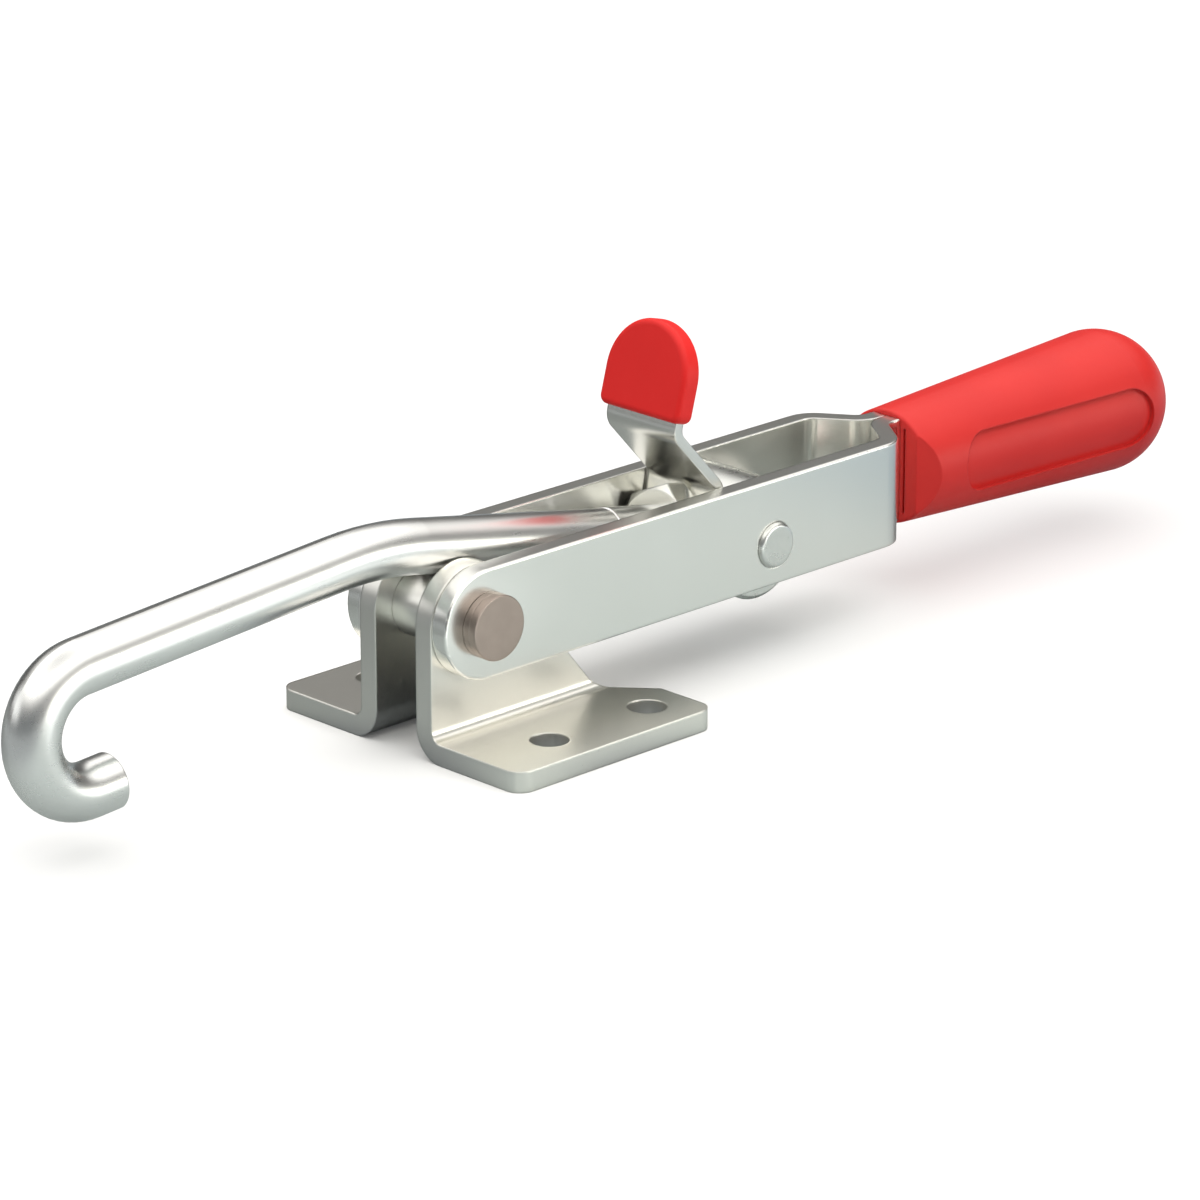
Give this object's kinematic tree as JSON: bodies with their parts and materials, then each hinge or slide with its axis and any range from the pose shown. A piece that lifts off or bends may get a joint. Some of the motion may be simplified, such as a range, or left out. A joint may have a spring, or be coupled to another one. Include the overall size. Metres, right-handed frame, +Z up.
{
  "type": "over-centre toggle latch",
  "caption": "Pull-action over-centre toggle latch with a flanged base, a hand lever with a rounded grip, a J-hook rod through a cross-drilled trunnion and a capped thumb lever.",
  "frame": {"origin": "middle of the four base screw holes, on the underside of the base", "axes": "+X from the hook toward the grip, +Y across the latch away from the side seen in the picture, +Z up from the mounting face"},
  "size_m": [0.2269, 0.0494, 0.052],
  "materials": {
    "plated_steel": "satin zinc plating",
    "polished_rod": "smooth bright zinc plating",
    "bronzed_steel": "brown-tinted satin plating",
    "red_plastic": "satin moulded plastic"
  },
  "bodies": {
    "base": {"base_bracket_near": "plated_steel", "base_bracket_far": "plated_steel", "pivot_spacer": "plated_steel", "pivot_pin": "bronzed_steel", "pivot_washer_near": "bronzed_steel", "pivot_washer_far": "bronzed_steel"},
    "handle": {"handle_plate_near": "plated_steel", "handle_plate_far": "plated_steel", "grip": "red_plastic"},
    "hook": {"trunnion": "plated_steel", "j_hook": "polished_rod", "front_nut": "plated_steel", "rear_nut": "plated_steel", "thumb_lever": "plated_steel", "lever_cap": "red_plastic"}
  },
  "joints": [
    {"name": "handle_pivot", "type": "hinge", "parent": "base", "child": "handle", "pos_m": [-0.0138, 0, 0.01915], "axis": [0, -1, 0], "range_deg": [0, 100]},
    {"name": "hook_swivel", "type": "hinge", "parent": "handle", "child": "hook", "pos_m": [0.0434, 0, 0.01726], "axis": [0, 1, 0], "range_deg": [0, 85]}
  ]
}
